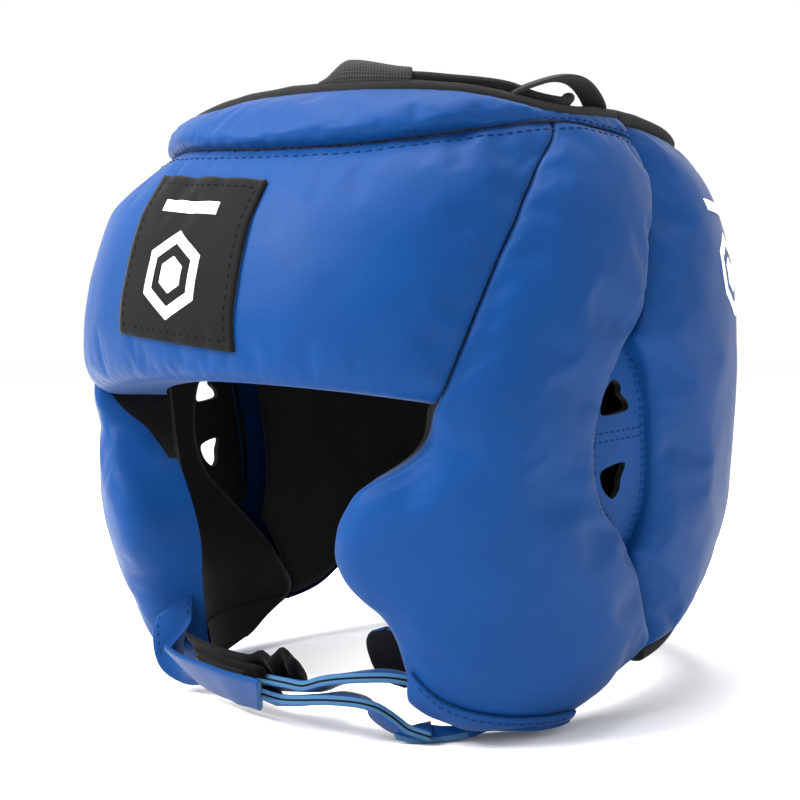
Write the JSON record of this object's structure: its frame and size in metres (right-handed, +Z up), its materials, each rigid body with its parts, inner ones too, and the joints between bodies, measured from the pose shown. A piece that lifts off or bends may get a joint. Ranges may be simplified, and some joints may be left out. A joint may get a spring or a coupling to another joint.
{
  "type": "boxing headgear",
  "caption": "Padded leather headgear with sewn foam pads, ear patches, laced crown rim, rear hook and loop closure and a split chin strap.",
  "frame": {"origin": "middle of the footprint, on the level of the cheeks' lower edges", "axes": "+Z up, the wearer looks along -Y, the wearer's left is +X; +Y runs from forehead to nape, the longest way"},
  "size_m": [0.218, 0.253, 0.2221],
  "materials": {
    "leather": "soft semi-gloss blue cover leather with fine grain",
    "velour": "black brushed velour",
    "foam": "dark closed-cell foam, hidden inside the pads",
    "hook_and_loop": "black hook and loop tape",
    "webbing": "ribbed black polyester webbing and binding",
    "cord": "braided black drawcord",
    "badge": "matt black rubberised patch"
  },
  "bodies": {
    "shell": {"badge_patch": "badge", "crown_band_foam": "foam", "crown_band_leather": "leather", "crown_band_liner": "velour", "crown_lace": "cord", "forehead_foam": "foam", "forehead_leather": "leather", "forehead_liner": "velour", "front_rim_binding": "webbing", "lace_knot": "cord", "left_anchor_strip": "leather", "left_anchor_tab": "velour", "left_cheek_binding": "webbing", "left_ear_lining": "velour", "left_ear_patch": "leather", "left_front_rim_tab": "webbing", "left_side_foam": "foam", "left_side_leather": "leather", "left_side_liner": "velour", "left_side_rim_tab": "webbing", "right_anchor_patch": "leather", "right_cheek_binding": "webbing", "right_ear_lining": "velour", "right_ear_patch": "leather", "right_front_rim_tab": "webbing", "right_side_foam": "foam", "right_side_leather": "leather", "right_side_liner": "velour", "right_side_rim_tab": "webbing"},
    "left_rear_wing": {"closure_loop_patch": "hook_and_loop", "left_rear_foam": "foam", "left_rear_hem_binding": "webbing", "left_rear_leather": "leather", "left_rear_liner": "velour", "left_rear_rim_binding": "webbing"},
    "right_rear_wing": {"closure_base": "leather", "right_rear_foam": "foam", "right_rear_hem_binding": "webbing", "right_rear_leather": "leather", "right_rear_liner": "velour", "right_rear_rim_binding": "webbing"},
    "rear_closure": {"closure_hook_patch": "hook_and_loop", "closure_strap": "leather"},
    "chin_strap": {"chin_hook_patch": "hook_and_loop", "chin_lower_branch": "leather", "chin_strap_end": "leather", "chin_strap_root": "leather", "chin_upper_branch": "leather"},
    "chin_cover": {"chin_cover": "leather", "chin_cover_lining": "velour"},
    "chin_tongue": {"chin_tongue": "velour"}
  },
  "joints": [
    {"name": "left_wing_spread", "type": "hinge", "parent": "shell", "child": "left_rear_wing", "pos_m": [0.104, -0.02083, 0.106], "axis": [0, 0, -1], "range_deg": [0, 12]},
    {"name": "right_wing_spread", "type": "hinge", "parent": "shell", "child": "right_rear_wing", "pos_m": [-0.104, -0.02083, 0.106], "axis": [0, 0, 1], "range_deg": [0, 12]},
    {"name": "rear_closure_open", "type": "hinge", "parent": "right_rear_wing", "child": "rear_closure", "pos_m": [-0.03781, 0.12001, 0.106], "axis": [0, 0, 1], "range_deg": [0, 100]},
    {"name": "chin_strap_swing", "type": "hinge", "parent": "shell", "child": "chin_strap", "pos_m": [0, -0.07784, 0.016], "axis": [-1, 0, 0], "range_deg": [-25, 40]},
    {"name": "chin_cover_peel", "type": "hinge", "parent": "chin_strap", "child": "chin_cover", "pos_m": [-0.05, -0.08134, 0.0127], "axis": [0, 0.7071, -0.7071], "range_deg": [0, 70]},
    {"name": "chin_tongue_lift", "type": "hinge", "parent": "chin_strap", "child": "chin_tongue", "pos_m": [-0.0439, -0.07824, 0.0174], "axis": [0, -0.7071, 0.7071], "range_deg": [0, 50]}
  ],
  "couplings": [
    {"joint": "left_wing_spread", "follows": "rear_closure_open", "ratio": 0.12},
    {"joint": "right_wing_spread", "follows": "rear_closure_open", "ratio": 0.12}
  ]
}
